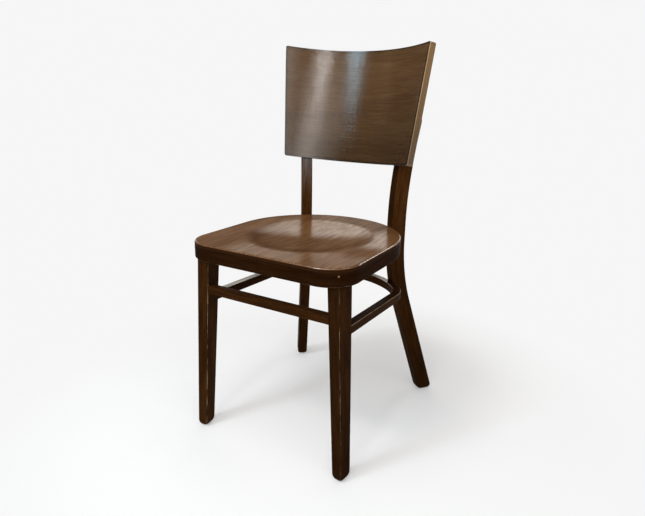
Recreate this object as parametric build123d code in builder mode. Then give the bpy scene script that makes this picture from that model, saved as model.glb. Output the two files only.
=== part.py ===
import os
from math import asin, atan, cos, degrees, radians, sin, sqrt, tan

from build123d import *

os.makedirs("parts", exist_ok=True)

# Restaurant chair in millimetres: +Z up, the sitter faces -Y, the origin is on the
# floor under the middle of the chair.

# Seat: a moulded plywood panel on a bent ring, square in front and half round behind
seat_height = 455.0  # floor to the seat's rim
seat_width = 390.0
seat_depth = 413.0
seat_corner_radius = 65.0
seat_edge_radius = 4.0
seat_panel_thickness = 9.0
ring_height = 29.0
ring_width = 40.0
ring_edge_radius = 5.0
hollow_width = 284.0
hollow_length = 290.0
hollow_depth = 8.0
hollow_setback = 198.0  # from the seat's front edge to the middle of the hollow

# Front legs: tapered, splayed, each turned a little to face outwards
front_foot_inset = 12.5  # from the seat's side to the middle of the foot
front_foot_setback = 38.0  # from the seat's front edge to the middle of the foot
front_top_inset = 32.5
front_top_setback = 46.0
front_top_width = 28.0
front_top_depth = 43.0
front_foot_width = 23.5
front_foot_depth = 31.5
front_leg_turn = 7.0  # degrees about the vertical
front_arris_radius = 2.0
front_tip_height = 7.0
front_tip_inset = 3.8  # how much each side of the foot is chamfered
front_tenon_diameter = 20.0

# Rear legs: leg and back post in one curved piece that points at the seat's middle
rear_leg_turn = 37.0  # degrees away from straight back
rear_leg_thickness = 26.0
rear_leg_depth = 37.0
rear_leg_rake = 18.1  # degrees from upright, below the knee
rear_knee_drop = 85.0  # from the ring's lower edge to where the raked and upright stretches meet
rear_knee_radius = 533.0
post_bend_radius = 988.0
post_top_drop = 122.0  # from the panel's top edge down to the post's end
post_end_radius = 34.0  # at the back
rear_arris_radius = 2.0
rear_tip_chamfer = 6.0

# Back panel: moulded plywood, curved round the sitter, wider at the top
panel_radius = 298.0  # of the front face
panel_thickness = 17.0
panel_height = 266.0
panel_bottom_width = 329.0
panel_top_width = 372.0
panel_rise = 142.5  # from the seat's rim up to the middle of the panel's lower edge
panel_forward = 25.0  # from the seat's rear edge forwards to the panel's lower edge
panel_recline = 11.5  # degrees from upright
panel_corner_radius = 5.0
panel_arris_radius = 1.2
panel_back_arris_radius = 3.0
panel_trim = 2.0  # degrees of sheet cut away past each end

# Stretchers: a straight bar in front, and a bent horseshoe from front leg to front leg
front_stretcher_drop = 71.0  # from the ring's lower edge to the middle of the bar
front_stretcher_height = 20.5
front_stretcher_depth = 15.0
front_stretcher_inset = 2.0  # behind the front faces of the legs
horseshoe_drop = 99.5  # from the ring's lower edge to the middle of the horseshoe, at the front legs
horseshoe_fall = 12.0  # how much lower the horseshoe is at the rear legs
horseshoe_height = 19.0
horseshoe_width = 20.0
horseshoe_corner_radius = 90.0  # of the outer face
stretcher_arris_radius = 2.5
stretcher_tenon_diameter = 11.0
stretcher_tenon_length = 14.0
stretcher_trim = 6.0  # extra length at each arm, cut away to fit the leg's face

# Housings: how deep one piece is let into the other
seat_housing = 1.0
horseshoe_housing = 0.6
panel_housing = 1.0

# Glides: a moulded disc on a nail under each foot
glide_diameter = 14.0
glide_height = 2.0
glide_edge_radius = 0.8
glide_nail_diameter = 2.5
glide_nail_length = 14.0

# Seat bolts: a bolt, a washer and a barrel nut hold each rear leg to the ring
bolt_diameter = 6.0
bolt_head_diameter = 11.0
bolt_head_height = 4.0
bolt_head_edge_radius = 1.3
bolt_socket_diameter = 4.0
bolt_socket_depth = 2.0
bolt_past_nut = 4.0
washer_diameter = 18.0
washer_thickness = 1.6
washer_seat_depth = 1.0  # flat cut into the ring for the washer
nut_diameter = 10.0
nut_length = 16.0
nut_depth = 17.0  # from the leg's front face to the nut's middle

# Wood screws: from behind through the posts, and from inside through the horseshoe
screw_diameter = 4.5
screw_head_diameter = 9.0
screw_head_height = 2.6
screw_socket_diameter = 3.4
screw_socket_depth = 1.6
screw_tip_length = 5.0
screw_tip_diameter = 1.2
back_screw_bite = 9.0  # how far the screw goes into the panel
back_screw_recess = 10.0  # from the post's back face to the floor under the head
back_screw_upper = 48.0  # from the post's end down to the upper screw
back_screw_pitch = 62.0
stretcher_screw_bite = 24.0  # how far the screw goes into the leg
stretcher_screw_recess = 3.2

# Pins: each locks a front leg's tenon in the ring, flush with the ring's corner
pin_diameter = 5.0
pin_depth = 30.0
pin_drop = 15.0  # from the seat's rim down to the middle of the pin
pin_angle = 46.0  # degrees round the seat's front corner, from straight out sideways

# Clearances
joint_clearance = 0.1  # round tenons, screws, bolts and nails, on the radius
end_gap = 0.5  # past the ends of tenons, nails and screws
plug_gap = 0.4  # between a screw head and its plug

# Places that follow from the sizes above
half_seat = seat_width / 2
ring_top = seat_height - seat_panel_thickness
ring_bottom = ring_top - ring_height
front_stretcher_level = ring_bottom - front_stretcher_drop
shoe_front_level = ring_bottom - horseshoe_drop
shoe_rear_level = shoe_front_level - horseshoe_fall
pin_level = seat_height - pin_drop
panel_bottom_height = seat_height + panel_rise
rear_knee_height = ring_bottom - rear_knee_drop
leg_turn_sin = sin(radians(rear_leg_turn))
leg_turn_cos = cos(radians(rear_leg_turn))
rake_tan = tan(radians(rear_leg_rake))
rear_front_face = half_seat - seat_housing  # of the upright stretch, from the seat's axis
rear_foot_front = rear_front_face + (rear_knee_height - glide_height) * rake_tan
rear_foot_back = rear_foot_front + rear_leg_depth / cos(radians(rear_leg_rake))
rear_heel = rear_foot_back - rear_tip_chamfer * sin(radians(rear_leg_rake))  # over the foot's chamfer
heel_corner = rear_leg_thickness / 2 * leg_turn_sin - rear_arris_radius * (leg_turn_sin + leg_turn_cos - 1)
axis_from_front = seat_depth - half_seat
overall_depth = axis_from_front + rear_heel * leg_turn_cos + heel_corner
seat_front_y = -overall_depth / 2
seat_axis_y = seat_front_y + axis_from_front
corner_x = half_seat - seat_corner_radius
corner_y = seat_front_y + seat_corner_radius
hollow_y = seat_front_y + hollow_setback
panel_y = seat_front_y + seat_depth - panel_forward
panel_back_radius = panel_radius + panel_thickness
post_top = panel_bottom_height + panel_height * cos(radians(panel_recline)) - post_top_drop
panel_plane = Plane(
    origin=(0, panel_y, panel_bottom_height),
    x_dir=(1, 0, 0),
    z_dir=(0, sin(radians(panel_recline)), cos(radians(panel_recline))),
)
sides = {"left": -1, "right": 1}


def seat_outline(inset=0.0):
    """Outline of the seat, moved inwards by inset: a half circle behind, round corners in front."""
    with BuildSketch(mode=Mode.PRIVATE) as outline:
        with Locations((0, seat_axis_y)):
            Circle(half_seat - inset)
        with Locations((0, (seat_front_y + inset + seat_axis_y) / 2)):
            Rectangle(seat_width - 2 * inset, seat_axis_y - seat_front_y - inset)
        fillet(outline.vertices().group_by(Axis.Y)[0], radius=seat_corner_radius - inset)
    return outline.sketch


def front_leg_middle(height):
    """Distance from the chair's middle plane and Y of a front leg's axis at a height."""
    share = (height - glide_height) / (ring_bottom - glide_height)
    inset = front_foot_inset + (front_top_inset - front_foot_inset) * share
    setback = front_foot_setback + (front_top_setback - front_foot_setback) * share
    return half_seat - inset, seat_front_y + setback


def front_leg_section(height):
    """Width and depth of a front leg at a height."""
    share = (height - glide_height) / (ring_bottom - glide_height)
    width = front_foot_width + (front_top_width - front_foot_width) * share
    depth = front_foot_depth + (front_top_depth - front_foot_depth) * share
    return width, depth


def front_leg_blank(side):
    """Tapered leg with a chamfered foot, without its tenon and holes."""
    tip_top = glide_height + front_tip_height
    with BuildPart(mode=Mode.PRIVATE) as blank:
        for low, high, low_inset in ((glide_height, tip_top, front_tip_inset), (tip_top, ring_bottom, 0)):
            for height, inset in ((low, low_inset), (high, 0)):
                x, y = front_leg_middle(height)
                width, depth = front_leg_section(height)
                with BuildSketch(Plane.XY.offset(height)):
                    with Locations(Location((side * x, y), -side * front_leg_turn)):
                        RectangleRounded(width - 2 * inset, depth - 2 * inset, front_arris_radius)
            loft(ruled=True)
    return blank.part


def radial_plane(side):
    """Upright plane through the seat's axis and a rear leg: X runs outwards, Y runs up."""
    outwards = (side * leg_turn_sin, leg_turn_cos, 0)
    across = (leg_turn_cos, -side * leg_turn_sin, 0)
    return Plane(origin=(0, seat_axis_y, 0), x_dir=outwards, z_dir=across)


def radial_axis_plane(side, distance, height, pitch=0.0):
    """Plane in a rear leg's middle whose Z points straight inwards, tipped up by pitch degrees."""
    lean = radians(pitch)
    inwards = (-side * leg_turn_sin * cos(lean), -leg_turn_cos * cos(lean), sin(lean))
    across = (leg_turn_cos, -side * leg_turn_sin, 0)
    origin = (side * leg_turn_sin * distance, seat_axis_y + leg_turn_cos * distance, height)
    return Plane(origin=origin, x_dir=across, z_dir=inwards)


def rear_front_distance(height):
    """Distance from the seat's axis out to a rear leg's front face, at a height below the seat."""
    drop = rear_knee_height + rear_knee_radius * tan(radians(rear_leg_rake / 2)) - height
    if drop <= 0:
        return rear_front_face
    if drop < rear_knee_radius * sin(radians(rear_leg_rake)):
        return rear_front_face + rear_knee_radius - sqrt(rear_knee_radius**2 - drop**2)
    return rear_front_face + (rear_knee_height - height) * rake_tan


def panel_back_distance(height):
    """Distance from the seat's axis out to the panel's back face, in a rear leg's middle plane."""
    recline = radians(panel_recline)
    rise = height - panel_bottom_height
    start = (seat_axis_y - panel_y) * cos(recline) - rise * sin(recline) + panel_radius
    slope = leg_turn_cos * cos(recline)
    square = leg_turn_sin**2 + slope**2
    root = (start * slope) ** 2 - square * (start**2 - panel_back_radius**2)
    return (sqrt(root) - start * slope) / square


def horseshoe_outline(inset=0.0, front_y=0.0):
    """Outline of the horseshoe, moved inwards by inset, cut off straight at front_y."""
    half_spread = horseshoe_spread / 2 - inset
    back_y = seat_axis_y + horseshoe_radius
    with BuildSketch(mode=Mode.PRIVATE) as outline:
        with Locations((0, (front_y + back_y) / 2)):
            Rectangle(2 * half_spread, back_y - front_y)
        with BuildSketch(mode=Mode.INTERSECT):
            with Locations((0, seat_axis_y)):
                Circle(horseshoe_radius - inset)
            with Locations((0, (front_y + seat_axis_y) / 2)):
                Rectangle(2 * half_spread, seat_axis_y - front_y)
        fillet(outline.vertices().group_by(Axis.Y)[-1], radius=horseshoe_corner_radius - inset)
    return outline.sketch


# Rear leg profile: the front line runs foot, knee, bend, top, and the back line is parallel to it
post_low = panel_back_distance(panel_bottom_height) - panel_housing
post_high = panel_back_distance(post_top) - panel_housing
post_slope = (post_high - post_low) / (post_top - panel_bottom_height)
post_recline = degrees(atan(post_slope))
post_bend_height = panel_bottom_height - (post_low - rear_front_face) / post_slope
back_knee_height = rear_knee_height + rear_leg_depth * tan(radians(rear_leg_rake / 2))
back_bend_height = post_bend_height - rear_leg_depth * tan(radians(post_recline / 2))
rear_back_face = rear_front_face + rear_leg_depth
post_end_back = (
    post_high + rear_leg_depth * cos(radians(post_recline)),
    post_top - rear_leg_depth * sin(radians(post_recline)),
)

# Horseshoe's rear bend: it meets the raked leg at its lower edge
horseshoe_radius = rear_front_distance(shoe_rear_level - horseshoe_height / 2) + horseshoe_housing

# Horseshoe's arms: each ends in the middle of a front leg's back face
shoe_leg_x, shoe_leg_y = front_leg_middle(shoe_front_level)
shoe_leg_depth = front_leg_section(shoe_front_level)[1]
shoe_x = shoe_leg_x + shoe_leg_depth / 2 * sin(radians(front_leg_turn))
shoe_back_y = shoe_leg_y + shoe_leg_depth / 2 * cos(radians(front_leg_turn))
shoe_tenon_end = shoe_back_y - stretcher_tenon_length
horseshoe_spread = 2 * shoe_x + horseshoe_width
stretcher_screw_floor = horseshoe_radius - horseshoe_width + stretcher_screw_recess

# Horseshoe's underside: it falls from the front legs to the rear legs
shoe_run = seat_axis_y + horseshoe_radius * leg_turn_cos - shoe_back_y
shoe_slope = horseshoe_fall / shoe_run
shoe_plane = Plane(
    origin=(0, 0, shoe_front_level - horseshoe_height / 2 + shoe_slope * shoe_back_y),
    x_dir=(1, 0, 0),
    z_dir=(0, sin(atan(shoe_slope)), cos(atan(shoe_slope))),
)

# Seat panel: a slab with a rounded rim, pressed into a shallow oval hollow
hollow_arc_y = (hollow_length / 2) ** 2 / (2 * hollow_depth) + hollow_depth / 2
hollow_arc_x = (hollow_width / 2) ** 2 / (2 * hollow_depth) + hollow_depth / 2
bulge_top = ring_top + seat_panel_thickness / 4  # inside the slab, so that slab and bulge are one


def hollow_form(floor_height, top_height):
    """Barrel-shaped body whose curved underside touches floor_height, closed at top_height."""
    rise = top_height - floor_height
    reach = sqrt(2 * hollow_arc_y * rise - rise**2)
    swing = degrees(asin(sqrt(2 * hollow_arc_x * rise - rise**2) / (hollow_arc_x - rise)))
    axis = Axis((0, hollow_y, floor_height + hollow_arc_x), (0, 1, 0))
    with BuildPart(mode=Mode.PRIVATE) as form:
        with BuildSketch(Plane.YZ):
            with BuildLine():
                lip = Line((hollow_y - reach, top_height), (hollow_y + reach, top_height))
                ThreePointArc(lip @ 0, (hollow_y, floor_height), lip @ 1)
            make_face()
        revolve(axis=axis, revolution_arc=swing)
        mirror(about=Plane.YZ)
        split(bisect_by=Plane.XY.offset(top_height), keep=Keep.BOTTOM)
    return form.part


with BuildPart() as seat_panel:
    with BuildSketch(Plane.XY.offset(ring_top)):
        add(seat_outline())
    extrude(amount=seat_panel_thickness)
    fillet(seat_panel.faces().sort_by(Axis.Z)[-1].edges(), radius=seat_edge_radius)
    add(hollow_form(ring_top - hollow_depth, bulge_top))
    add(hollow_form(seat_height - hollow_depth, seat_height + hollow_depth), mode=Mode.SUBTRACT)
seat_panel.part.label = "seat_panel"
export_step(seat_panel.part, "parts/seat_panel.step")

# Seat ring: bent to the seat's outline, with holes for the tenons, bolts and pins
ring_inner_face = half_seat - ring_width
bolt_level = (ring_top + ring_bottom) / 2
washer_floor = ring_inner_face + washer_seat_depth
nut_distance = rear_front_face + nut_depth
top_x, top_y = front_leg_middle(ring_bottom)
pin_x = corner_x + seat_corner_radius * cos(radians(pin_angle))
pin_y = corner_y - seat_corner_radius * sin(radians(pin_angle))


def pin_plane(side):
    """Plane at the face of a corner pin whose Z points inwards at the leg's tenon."""
    inwards = Vector(side * (top_x - pin_x), top_y - pin_y, 0)
    return Plane(origin=(side * pin_x, pin_y, pin_level), z_dir=inwards)


def inward_cylinder(plane, radius, start, length):
    """Cylinder on a plane's Z axis, from start to start + length."""
    with BuildPart(plane, mode=Mode.PRIVATE) as bar:
        with Locations((0, 0, start)):
            Cylinder(radius, length, align=(Align.CENTER, Align.CENTER, Align.MIN))
    return bar.part


with BuildPart() as seat_ring:
    with BuildSketch(Plane.XY.offset(ring_bottom)):
        add(seat_outline())
        add(seat_outline(ring_width), mode=Mode.SUBTRACT)
    extrude(amount=ring_height)
    fillet(seat_ring.faces().sort_by(Axis.Z)[0].edges(), radius=ring_edge_radius)
    with Locations((-top_x, top_y, ring_bottom), (top_x, top_y, ring_bottom)):
        Cylinder(
            front_tenon_diameter / 2 + joint_clearance,
            ring_height,
            align=(Align.CENTER, Align.CENTER, Align.MIN),
            mode=Mode.SUBTRACT,
        )
    for side in sides.values():
        inside = radial_axis_plane(side, washer_floor, bolt_level)
        washer_hole = inward_cylinder(inside, washer_diameter / 2 + joint_clearance, 0, ring_width)
        bolt_hole = inward_cylinder(inside, bolt_diameter / 2 + joint_clearance, -ring_width, ring_width)
        pin_hole = inward_cylinder(pin_plane(side), pin_diameter / 2, -pin_depth, 2 * pin_depth)
        add([washer_hole, bolt_hole, pin_hole], mode=Mode.SUBTRACT)
seat_ring.part.label = "seat_ring"
export_step(seat_ring.part, "parts/seat_ring.step")

# Corner pins: cut flush with the ring's outer face
for name, side in sides.items():
    with BuildPart() as leg_pin:
        with BuildSketch(Plane.XY.offset(ring_bottom)):
            add(seat_outline())
        extrude(amount=ring_height)
        pin_bar = inward_cylinder(pin_plane(side), pin_diameter / 2, -pin_depth, 2 * pin_depth)
        add(pin_bar, mode=Mode.INTERSECT)
    leg_pin.part.label = f"leg_pin_{name}"
    export_step(leg_pin.part, f"parts/leg_pin_{name}.step")

# Stretchers: trimmed to the faces of the legs that they meet, with round tenons
front_legs = {name: front_leg_blank(side) for name, side in sides.items()}
bar_x, bar_leg_y = front_leg_middle(front_stretcher_level)
bar_leg_width, bar_leg_depth = front_leg_section(front_stretcher_level)
bar_y = bar_leg_y - bar_leg_depth / 2 + front_stretcher_inset + front_stretcher_depth / 2
bar_tenon_end = bar_x - bar_leg_width / 2 + stretcher_tenon_length
tenon_radius = stretcher_tenon_diameter / 2

with BuildPart() as front_stretcher:
    with BuildSketch(Plane.YZ):
        with Locations((bar_y, front_stretcher_level)):
            RectangleRounded(front_stretcher_depth, front_stretcher_height, stretcher_arris_radius)
    extrude(amount=bar_x, both=True)
    for leg in front_legs.values():
        add(leg, mode=Mode.SUBTRACT)
    with BuildSketch(Plane.YZ):
        with Locations((bar_y, front_stretcher_level)):
            Circle(tenon_radius)
    extrude(amount=bar_tenon_end, both=True)
front_stretcher.part.label = "front_stretcher"
export_step(front_stretcher.part, "parts/front_stretcher.step")

with BuildPart() as horseshoe_stretcher:
    with BuildSketch(shoe_plane):
        add(horseshoe_outline(0, shoe_back_y - stretcher_trim))
        add(horseshoe_outline(horseshoe_width, shoe_leg_y - shoe_leg_depth), mode=Mode.SUBTRACT)
    extrude(amount=horseshoe_height)
    flat_faces = horseshoe_stretcher.faces().filter_by(shoe_plane)
    fillet(flat_faces.edges(), radius=stretcher_arris_radius)
    for leg in front_legs.values():
        add(leg, mode=Mode.SUBTRACT)
    with BuildSketch(Plane.XZ.offset(-shoe_tenon_end)):
        with Locations((-shoe_x, shoe_front_level), (shoe_x, shoe_front_level)):
            Circle(tenon_radius)
    extrude(amount=-2 * stretcher_tenon_length)
    for side in sides.values():
        floor = radial_axis_plane(side, stretcher_screw_floor, shoe_rear_level)
        head_hole = inward_cylinder(floor, screw_head_diameter / 2 + joint_clearance, 0, horseshoe_width)
        shank_hole = inward_cylinder(
            floor, screw_diameter / 2 + joint_clearance, -horseshoe_width, horseshoe_width
        )
        add([head_hole, shank_hole], mode=Mode.SUBTRACT)
horseshoe_stretcher.part.label = "horseshoe_stretcher"
export_step(horseshoe_stretcher.part, "parts/horseshoe_stretcher.step")

# Front legs: the blank with its tenon, and holes for the stretchers, the pin and the glide
for name, side in sides.items():
    foot_x, foot_y = front_leg_middle(glide_height)
    with BuildPart() as front_leg:
        add(front_legs[name])
        with Locations((side * top_x, top_y, ring_bottom)):
            Cylinder(
                front_tenon_diameter / 2,
                ring_height - end_gap,
                align=(Align.CENTER, Align.CENTER, Align.MIN),
            )
        with BuildSketch(Plane.YZ.offset(side * (bar_tenon_end + end_gap))):
            with Locations((bar_y, front_stretcher_level)):
                Circle(tenon_radius + joint_clearance)
        extrude(amount=-side * front_top_width, mode=Mode.SUBTRACT)
        with BuildSketch(Plane.XZ.offset(-(shoe_tenon_end - end_gap))):
            with Locations((side * shoe_x, shoe_front_level)):
                Circle(tenon_radius + joint_clearance)
        extrude(amount=-front_top_depth, mode=Mode.SUBTRACT)
        add(inward_cylinder(pin_plane(side), pin_diameter / 2, 0, pin_depth), mode=Mode.SUBTRACT)
        with Locations((side * foot_x, foot_y, glide_height)):
            Cylinder(
                glide_nail_diameter / 2 + joint_clearance,
                glide_nail_length + end_gap,
                align=(Align.CENTER, Align.CENTER, Align.MIN),
                mode=Mode.SUBTRACT,
            )
    front_leg.part.label = f"front_leg_{name}"
    export_step(front_leg.part, f"parts/front_leg_{name}.step")

# Back panel: a curved sheet, cut square to its face along both slanted ends
bottom_swing = asin(panel_bottom_width / 2 / panel_radius)
top_swing = asin(panel_top_width / 2 / panel_radius)
sheet_swing = degrees(max(bottom_swing, top_swing)) + panel_trim
mean_swing = (bottom_swing + top_swing) / 2
post_screws = {
    "upper": post_top - back_screw_upper * cos(radians(post_recline)),
    "lower": post_top - (back_screw_upper + back_screw_pitch) * cos(radians(post_recline)),
}


def panel_end(side):
    """Plane of a panel end, facing outwards."""
    low = Vector(side * panel_radius * sin(bottom_swing), panel_radius * (cos(bottom_swing) - 1), 0)
    high = Vector(side * panel_radius * sin(top_swing), panel_radius * (cos(top_swing) - 1), panel_height)
    through = Vector(side * sin(mean_swing), cos(mean_swing), 0)
    corner = panel_plane.from_local_coords(low)
    outwards = panel_plane.from_local_coords(low + through.cross(high - low) * side) - corner
    return Plane(corner, z_dir=outwards)


def post_screw_plane(side, height):
    """Plane on the front face of a post whose Z points forwards, square to the post."""
    distance = post_high + (height - post_top) * post_slope
    return radial_axis_plane(side, distance, height, post_recline)


with BuildPart() as back_panel:
    with BuildSketch(panel_plane):
        with BuildLine():
            CenterArc((0, -panel_radius), panel_radius, 90 - sheet_swing, 2 * sheet_swing)
            CenterArc((0, -panel_radius), panel_back_radius, 90 - sheet_swing, 2 * sheet_swing)
            for turn in (-sheet_swing, sheet_swing):
                across = Vector(sin(radians(turn)), cos(radians(turn)))
                centre = Vector(0, -panel_radius)
                Line(centre + across * panel_radius, centre + across * panel_back_radius)
        make_face()
    extrude(amount=panel_height)
    for side in sides.values():
        split(bisect_by=panel_end(side), keep=Keep.BOTTOM)
    fillet(back_panel.edges().sort_by(SortBy.LENGTH)[:4], radius=panel_corner_radius)
    front_face = back_panel.faces().filter_by(GeomType.CYLINDER).sort_by(SortBy.AREA)[-2]
    fillet(front_face.edges(), radius=panel_arris_radius)
    back_face = back_panel.faces().filter_by(GeomType.CYLINDER).sort_by(SortBy.AREA)[-1]
    fillet(back_face.edges(), radius=panel_back_arris_radius)
    for side in sides.values():
        for height in post_screws.values():
            pilot = inward_cylinder(
                post_screw_plane(side, height),
                screw_diameter / 2 + joint_clearance,
                -2 * panel_housing,
                panel_housing + back_screw_bite + end_gap,
            )
            add(pilot, mode=Mode.SUBTRACT)
back_panel.part.label = "back_panel"
export_step(back_panel.part, "parts/back_panel.step")

# Rear legs: cut to fit the seat, the horseshoe and the panel, and drilled for bolts and screws
knee_radii = [rear_knee_radius, post_bend_radius]
back_radii = [post_bend_radius - rear_leg_depth, rear_knee_radius - rear_leg_depth]
front_line = [
    (rear_foot_front, glide_height),
    (rear_front_face, rear_knee_height),
    (rear_front_face, post_bend_height),
    (post_high, post_top),
]
back_line = [
    post_end_back,
    (rear_back_face, back_bend_height),
    (rear_back_face, back_knee_height),
    (rear_foot_back, glide_height),
]
post_screw_floor = back_screw_recess - rear_leg_depth  # under the head, from the post's front face


def rear_foot_place(side):
    """X and Y of the middle of a rear foot."""
    distance = (rear_foot_front + rear_foot_back) / 2
    return side * distance * leg_turn_sin, seat_axis_y + distance * leg_turn_cos


with BuildPart() as seat_space:
    with BuildSketch(Plane.XY.offset(ring_bottom)):
        add(seat_outline())
    extrude(amount=seat_height - ring_bottom)
with BuildPart() as horseshoe_space:
    with BuildSketch(shoe_plane):
        add(horseshoe_outline(0, seat_axis_y - horseshoe_width))
    extrude(amount=horseshoe_height)
with BuildPart() as panel_space:
    with BuildSketch(panel_plane):
        with Locations((0, -panel_radius)):
            Circle(panel_back_radius)
    extrude(amount=panel_height)

for name, side in sides.items():
    with BuildPart() as rear_leg:
        with BuildSketch(radial_plane(side)) as profile:
            with BuildLine():
                FilletPolyline(*front_line, radius=knee_radii)
                Line(front_line[-1], back_line[0])
                FilletPolyline(*back_line, radius=back_radii)
                Line(back_line[-1], front_line[0])
            make_face()
            chamfer(profile.vertices().group_by(Axis.Y)[0], length=rear_tip_chamfer)
            fillet(profile.vertices().sort_by_distance(back_line[0])[0], radius=post_end_radius)
        extrude(amount=rear_leg_thickness / 2, both=True)
        flanks = rear_leg.faces().filter_by(radial_plane(side))
        fillet(flanks.edges(), radius=rear_arris_radius)
        add([seat_space.part, horseshoe_space.part, panel_space.part], mode=Mode.SUBTRACT)
        bolt_hole = inward_cylinder(
            radial_axis_plane(side, nut_distance + bolt_past_nut + nut_diameter / 2 + end_gap, bolt_level),
            bolt_diameter / 2 + joint_clearance,
            0,
            nut_depth + rear_leg_depth,
        )
        stretcher_hole = inward_cylinder(
            radial_axis_plane(side, horseshoe_radius + stretcher_screw_bite + end_gap, shoe_rear_level),
            screw_diameter / 2 + joint_clearance,
            0,
            stretcher_screw_bite + rear_leg_depth,
        )
        add([bolt_hole, stretcher_hole], mode=Mode.SUBTRACT)
        with BuildSketch(radial_plane(side).offset(side * (nut_length / 2 + end_gap))):
            with Locations((nut_distance, bolt_level)):
                Circle(nut_diameter / 2 + joint_clearance)
        extrude(amount=-side * rear_leg_thickness, mode=Mode.SUBTRACT)
        for height in post_screws.values():
            floor = post_screw_plane(side, height).offset(post_screw_floor)
            head_hole = inward_cylinder(
                floor, screw_head_diameter / 2 + joint_clearance, -rear_leg_depth, rear_leg_depth
            )
            shank_hole = inward_cylinder(floor, screw_diameter / 2 + joint_clearance, 0, rear_leg_depth)
            add([head_hole, shank_hole], mode=Mode.SUBTRACT)
        with Locations(Vector(*rear_foot_place(side), glide_height)):
            Cylinder(
                glide_nail_diameter / 2 + joint_clearance,
                glide_nail_length + end_gap,
                align=(Align.CENTER, Align.CENTER, Align.MIN),
                mode=Mode.SUBTRACT,
            )
    rear_leg.part.label = f"rear_leg_{name}"
    export_step(rear_leg.part, f"parts/rear_leg_{name}.step")


def wood_screw(seat_plane, length):
    """Screw whose head sits on seat_plane and whose shank runs along the plane's Z."""
    on_axis = (Align.CENTER, Align.CENTER, Align.MIN)
    with BuildPart(seat_plane, mode=Mode.PRIVATE) as screw:
        Cylinder(screw_diameter / 2, length - screw_tip_length, align=on_axis)
        with Locations((0, 0, length - screw_tip_length)):
            Cone(screw_diameter / 2, screw_tip_diameter / 2, screw_tip_length, align=on_axis)
        with Locations((0, 0, -screw_head_height)):
            Cylinder(screw_head_diameter / 2, screw_head_height, align=on_axis)
        with BuildSketch(seat_plane.offset(-screw_head_height)):
            RegularPolygon(screw_socket_diameter / 2, 6)
        extrude(amount=screw_socket_depth, mode=Mode.SUBTRACT)
    return screw.part


# Fasteners of each side: bolt, washer and nut at the seat, screws at the horseshoe and the panel
bolt_length = nut_distance + nut_diameter / 2 + bolt_past_nut - washer_floor + washer_thickness
for name, side in sides.items():
    inside = radial_axis_plane(side, washer_floor, bolt_level)
    with BuildPart() as seat_washer:
        with BuildSketch(inside):
            Circle(washer_diameter / 2)
            Circle(bolt_diameter / 2 + joint_clearance, mode=Mode.SUBTRACT)
        extrude(amount=washer_thickness)
    seat_washer.part.label = f"seat_washer_{name}"
    export_step(seat_washer.part, f"parts/seat_washer_{name}.step")

    under_head = inside.offset(washer_thickness)
    with BuildPart() as seat_bolt:
        with BuildSketch(under_head):
            Circle(bolt_head_diameter / 2)
        extrude(amount=bolt_head_height)
        rims = seat_bolt.edges().filter_by(GeomType.CIRCLE)
        fillet(rims.sort_by_distance((0, seat_axis_y, bolt_level))[0], radius=bolt_head_edge_radius)
        with BuildSketch(under_head.offset(bolt_head_height)):
            RegularPolygon(bolt_socket_diameter / 2, 6)
        extrude(amount=-bolt_socket_depth, mode=Mode.SUBTRACT)
        with BuildSketch(under_head):
            Circle(bolt_diameter / 2)
        extrude(amount=-bolt_length)
    seat_bolt.part.label = f"seat_bolt_{name}"
    export_step(seat_bolt.part, f"parts/seat_bolt_{name}.step")

    with BuildPart() as seat_nut:
        with BuildSketch(radial_plane(side)):
            with Locations((nut_distance, bolt_level)):
                Circle(nut_diameter / 2)
        extrude(amount=nut_length / 2, both=True)
        crossing = radial_axis_plane(side, nut_distance + nut_diameter, bolt_level)
        thread = inward_cylinder(crossing, bolt_diameter / 2 + joint_clearance, 0, 2 * nut_diameter)
        add(thread, mode=Mode.SUBTRACT)
    seat_nut.part.label = f"seat_nut_{name}"
    export_step(seat_nut.part, f"parts/seat_nut_{name}.step")

    floor = radial_axis_plane(side, stretcher_screw_floor, shoe_rear_level)
    outwards = Plane(floor.origin, x_dir=floor.x_dir, z_dir=-floor.z_dir)
    screw_end = horseshoe_radius + stretcher_screw_bite
    stretcher_screw = wood_screw(outwards, screw_end - stretcher_screw_floor)
    stretcher_screw.label = f"stretcher_screw_{name}"
    export_step(stretcher_screw, f"parts/stretcher_screw_{name}.step")

    for level, height in post_screws.items():
        floor = post_screw_plane(side, height).offset(post_screw_floor)
        back_screw = wood_screw(floor, back_screw_bite - panel_housing - post_screw_floor)
        back_screw.label = f"back_screw_{level}_{name}"
        export_step(back_screw, f"parts/back_screw_{level}_{name}.step")
        with BuildPart() as screw_plug:
            with BuildSketch(floor.offset(-back_screw_recess)):
                Circle(screw_head_diameter / 2)
            extrude(amount=back_screw_recess - screw_head_height - plug_gap)
        screw_plug.part.label = f"screw_plug_{level}_{name}"
        export_step(screw_plug.part, f"parts/screw_plug_{level}_{name}.step")

# Glides: one under each foot
foot_x, foot_y = front_leg_middle(glide_height)
for name, side in sides.items():
    for end, place in (("front", (side * foot_x, foot_y)), ("rear", rear_foot_place(side))):
        with BuildPart() as glide:
            with Locations(Vector(*place, 0)):
                Cylinder(glide_diameter / 2, glide_height, align=(Align.CENTER, Align.CENTER, Align.MIN))
            fillet(glide.edges().sort_by(Axis.Z)[0], radius=glide_edge_radius)
            with Locations(Vector(*place, glide_height)):
                Cylinder(
                    glide_nail_diameter / 2,
                    glide_nail_length,
                    align=(Align.CENTER, Align.CENTER, Align.MIN),
                )
        glide.part.label = f"glide_{end}_{name}"
        export_step(glide.part, f"parts/glide_{end}_{name}.step")
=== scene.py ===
import math

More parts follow.
